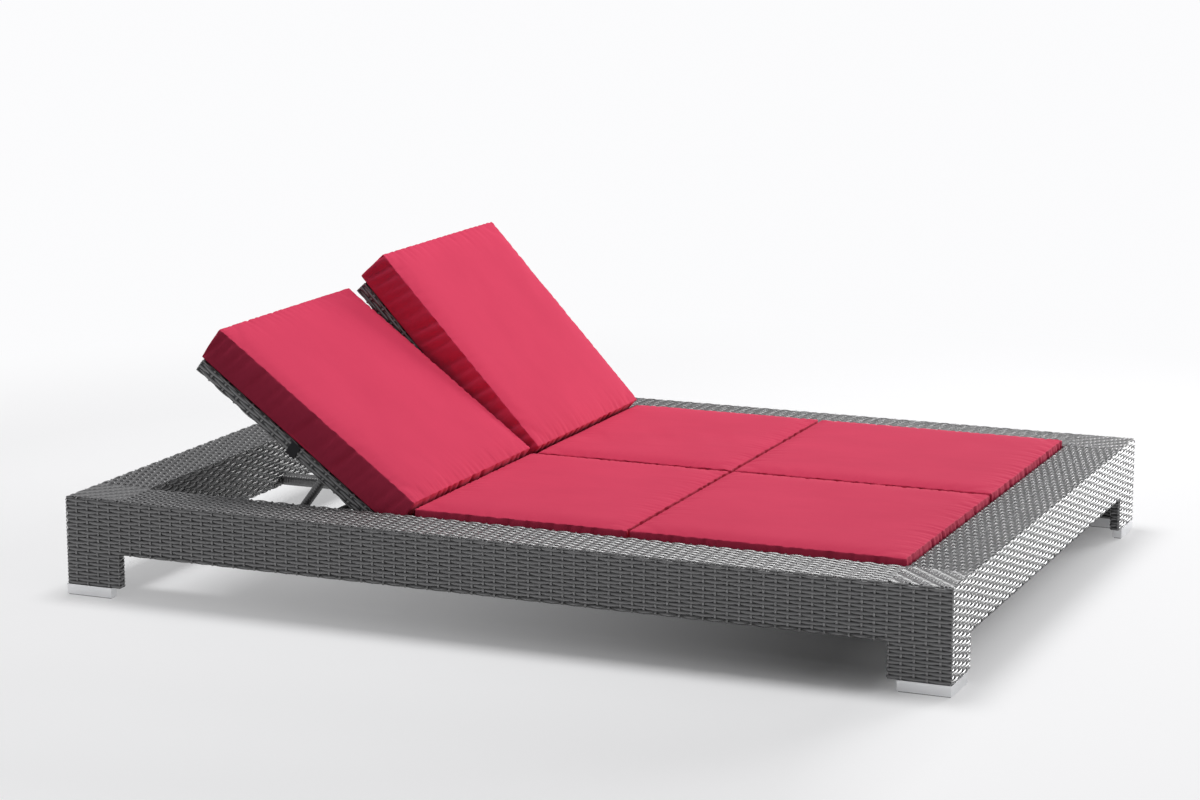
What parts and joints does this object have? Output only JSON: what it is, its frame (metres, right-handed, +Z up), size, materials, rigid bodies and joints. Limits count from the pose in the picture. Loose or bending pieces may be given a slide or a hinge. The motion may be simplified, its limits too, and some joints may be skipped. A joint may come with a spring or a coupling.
{
  "type": "double chaise lounger",
  "caption": "Low woven double sun lounger with loose red cushions and separately reclining padded backrests on folding props.",
  "frame": {"origin": "on the floor under the middle of the platform", "axes": "+Y from the foot end to the head end, +Z up, +X to the right when looking along +Y"},
  "size_m": [1.5, 2, 0.6536],
  "materials": {
    "weave": "woven flat resin strands, anthracite, low sheen",
    "frame": "powder coated dark grey",
    "cap": "brushed",
    "fastener": "plain stainless",
    "plastic": "moulded, matt black",
    "cushion": "raspberry red outdoor fabric, soft sheen",
    "strap": "black elastic webbing"
  },
  "bodies": {
    "platform": {"cap_bolts": "fastener", "centre_beam": "frame", "centre_beam_wrap": "weave", "foot_beam": "frame", "foot_cap_foot_left": "cap", "foot_cap_foot_right": "cap", "foot_cap_head_left": "cap", "foot_cap_head_right": "cap", "foot_cushion_left": "cushion", "foot_cushion_right": "cushion", "foot_frame": "frame", "glides": "plastic", "head_frame": "frame", "hinge_beam": "frame", "hinge_ear_left_inner": "frame", "hinge_ear_left_outer": "frame", "hinge_ear_right_inner": "frame", "hinge_ear_right_outer": "frame", "hinge_pins": "fastener", "leg_core_foot_left": "frame", "leg_core_foot_right": "frame", "leg_core_head_left": "frame", "leg_core_head_right": "frame", "leg_cover_foot_left": "weave", "leg_cover_foot_right": "weave", "leg_cover_head_left": "weave", "leg_cover_head_right": "weave", "middle_cushion_left": "cushion", "middle_cushion_right": "cushion", "rack_left_inner": "frame", "rack_left_outer": "frame", "rack_right_inner": "frame", "rack_right_outer": "frame", "rail_cover_foot": "weave", "rail_cover_head": "weave", "rail_cover_left": "weave", "rail_cover_right": "weave", "seat_beam": "frame", "seat_frame": "frame", "seat_weave": "weave", "side_frame_left": "frame", "side_frame_right": "frame"},
    "back_left": {"back_frame_left": "frame", "back_weave_left": "weave", "back_cushion_left": "cushion", "cushion_straps_left": "strap", "prop_pins_left": "fastener"},
    "prop_left": {"prop_frame_left": "frame", "prop_wrap_left": "weave", "prop_catches_left": "plastic"},
    "back_right": {"back_frame_right": "frame", "back_weave_right": "weave", "back_cushion_right": "cushion", "cushion_straps_right": "strap", "prop_pins_right": "fastener"},
    "prop_right": {"prop_frame_right": "frame", "prop_wrap_right": "weave", "prop_catches_right": "plastic"}
  },
  "joints": [
    {"name": "back_left_hinge", "type": "hinge", "parent": "platform", "child": "back_left", "pos_m": [0, 0.248, 0.142], "axis": [1, 0, 0], "range_deg": [-36.5, 13.5]},
    {"name": "prop_left_pivot", "type": "hinge", "parent": "back_left", "child": "prop_left", "pos_m": [0, 0.44575, 0.28833], "axis": [1, 0, 0], "range_deg": [-33.08, 89.42]},
    {"name": "back_right_hinge", "type": "hinge", "parent": "platform", "child": "back_right", "pos_m": [0, 0.248, 0.142], "axis": [1, 0, 0], "range_deg": [-47, 3]},
    {"name": "prop_right_pivot", "type": "hinge", "parent": "back_right", "child": "prop_right", "pos_m": [0, 0.41577, 0.32191], "axis": [1, 0, 0], "range_deg": [-7.35, 115.15]}
  ],
  "couplings": [
    {"joint": "prop_left_pivot", "follows": "back_left_hinge", "ratio": -2.45},
    {"joint": "prop_right_pivot", "follows": "back_right_hinge", "ratio": -2.45}
  ]
}
